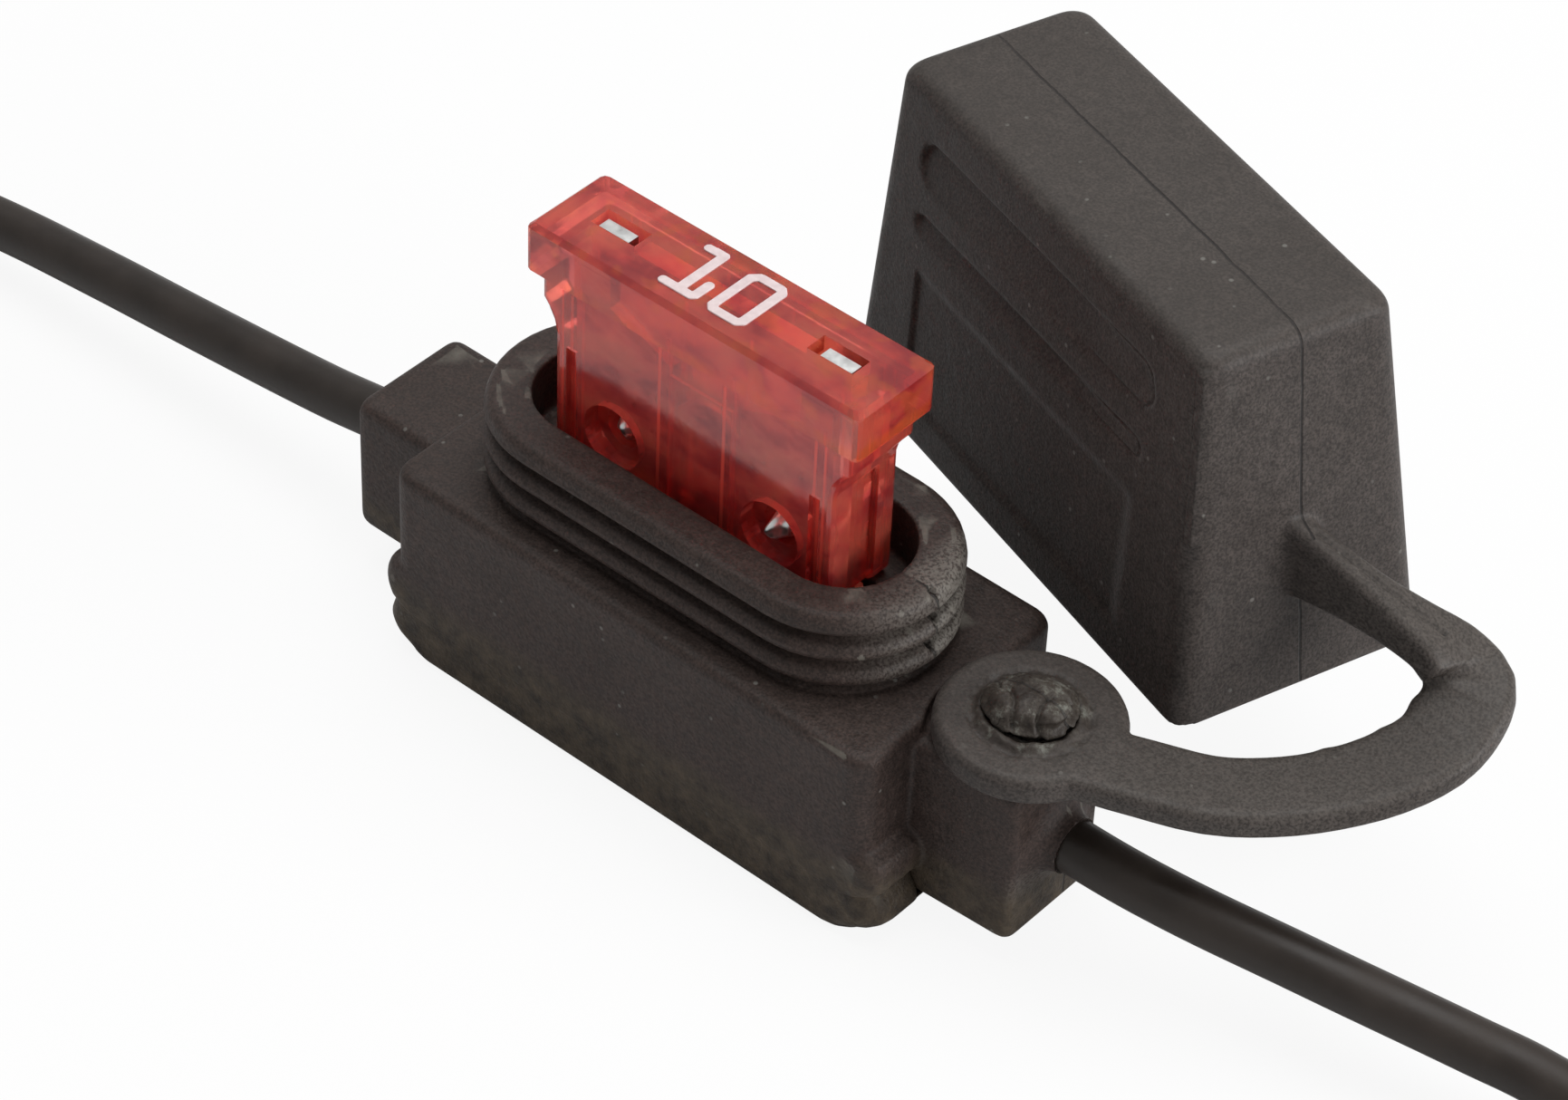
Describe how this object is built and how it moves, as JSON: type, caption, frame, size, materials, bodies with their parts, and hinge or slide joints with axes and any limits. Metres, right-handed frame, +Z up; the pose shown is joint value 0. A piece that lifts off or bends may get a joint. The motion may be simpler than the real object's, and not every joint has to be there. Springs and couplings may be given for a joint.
{
  "type": "inline fuse holder",
  "caption": "Inline rubber holder for a blade fuse, with a ribbed collar, a tethered push-on cap swung aside, and an insulated lead out of each end.",
  "frame": {"origin": "centre of the holder's flat underside, on the surface it rests on", "axes": "+X along the leads towards the post that holds the cap's tether, +Y across the holder towards the hanging cap, +Z up, the way the fuse pulls out"},
  "size_m": [0.1815, 0.0336, 0.0287],
  "materials": {
    "holder_rubber": "matte, fine grain",
    "cap_rubber": "matte, fine grain",
    "fuse_plastic": "clear tinted",
    "fuse_metal": "stamped, dull plated",
    "terminal_metal": "tinned",
    "copper_strands": "bare strands",
    "lead_jacket": "satin",
    "tie_nylon": "satin"
  },
  "bodies": {
    "holder": {"holder_body": "holder_rubber", "base_cover": "holder_rubber", "terminal_left": "terminal_metal", "terminal_right": "terminal_metal", "conductor_left": "copper_strands", "conductor_right": "copper_strands", "left_lead": "lead_jacket", "right_lead": "lead_jacket", "left_lead_coil": "lead_jacket", "right_lead_coil": "lead_jacket", "left_coil_tie": "tie_nylon", "right_coil_tie": "tie_nylon", "left_bare_end": "copper_strands", "right_bare_end": "copper_strands"},
    "fuse": {"fuse_housing": "fuse_plastic", "fuse_element": "fuse_metal"},
    "cap": {"cap_with_tether": "cap_rubber"}
  },
  "joints": [
    {"name": "fuse_pull", "type": "slide", "parent": "holder", "child": "fuse", "axis": [0, 0, 1], "range_m": [0, 0.0105]},
    {"name": "cap_swivel", "type": "hinge", "parent": "holder", "child": "cap", "pos_m": [0.0179, 0, 0.01145], "axis": [0, 0, 1], "range_deg": [-110, 12]}
  ]
}
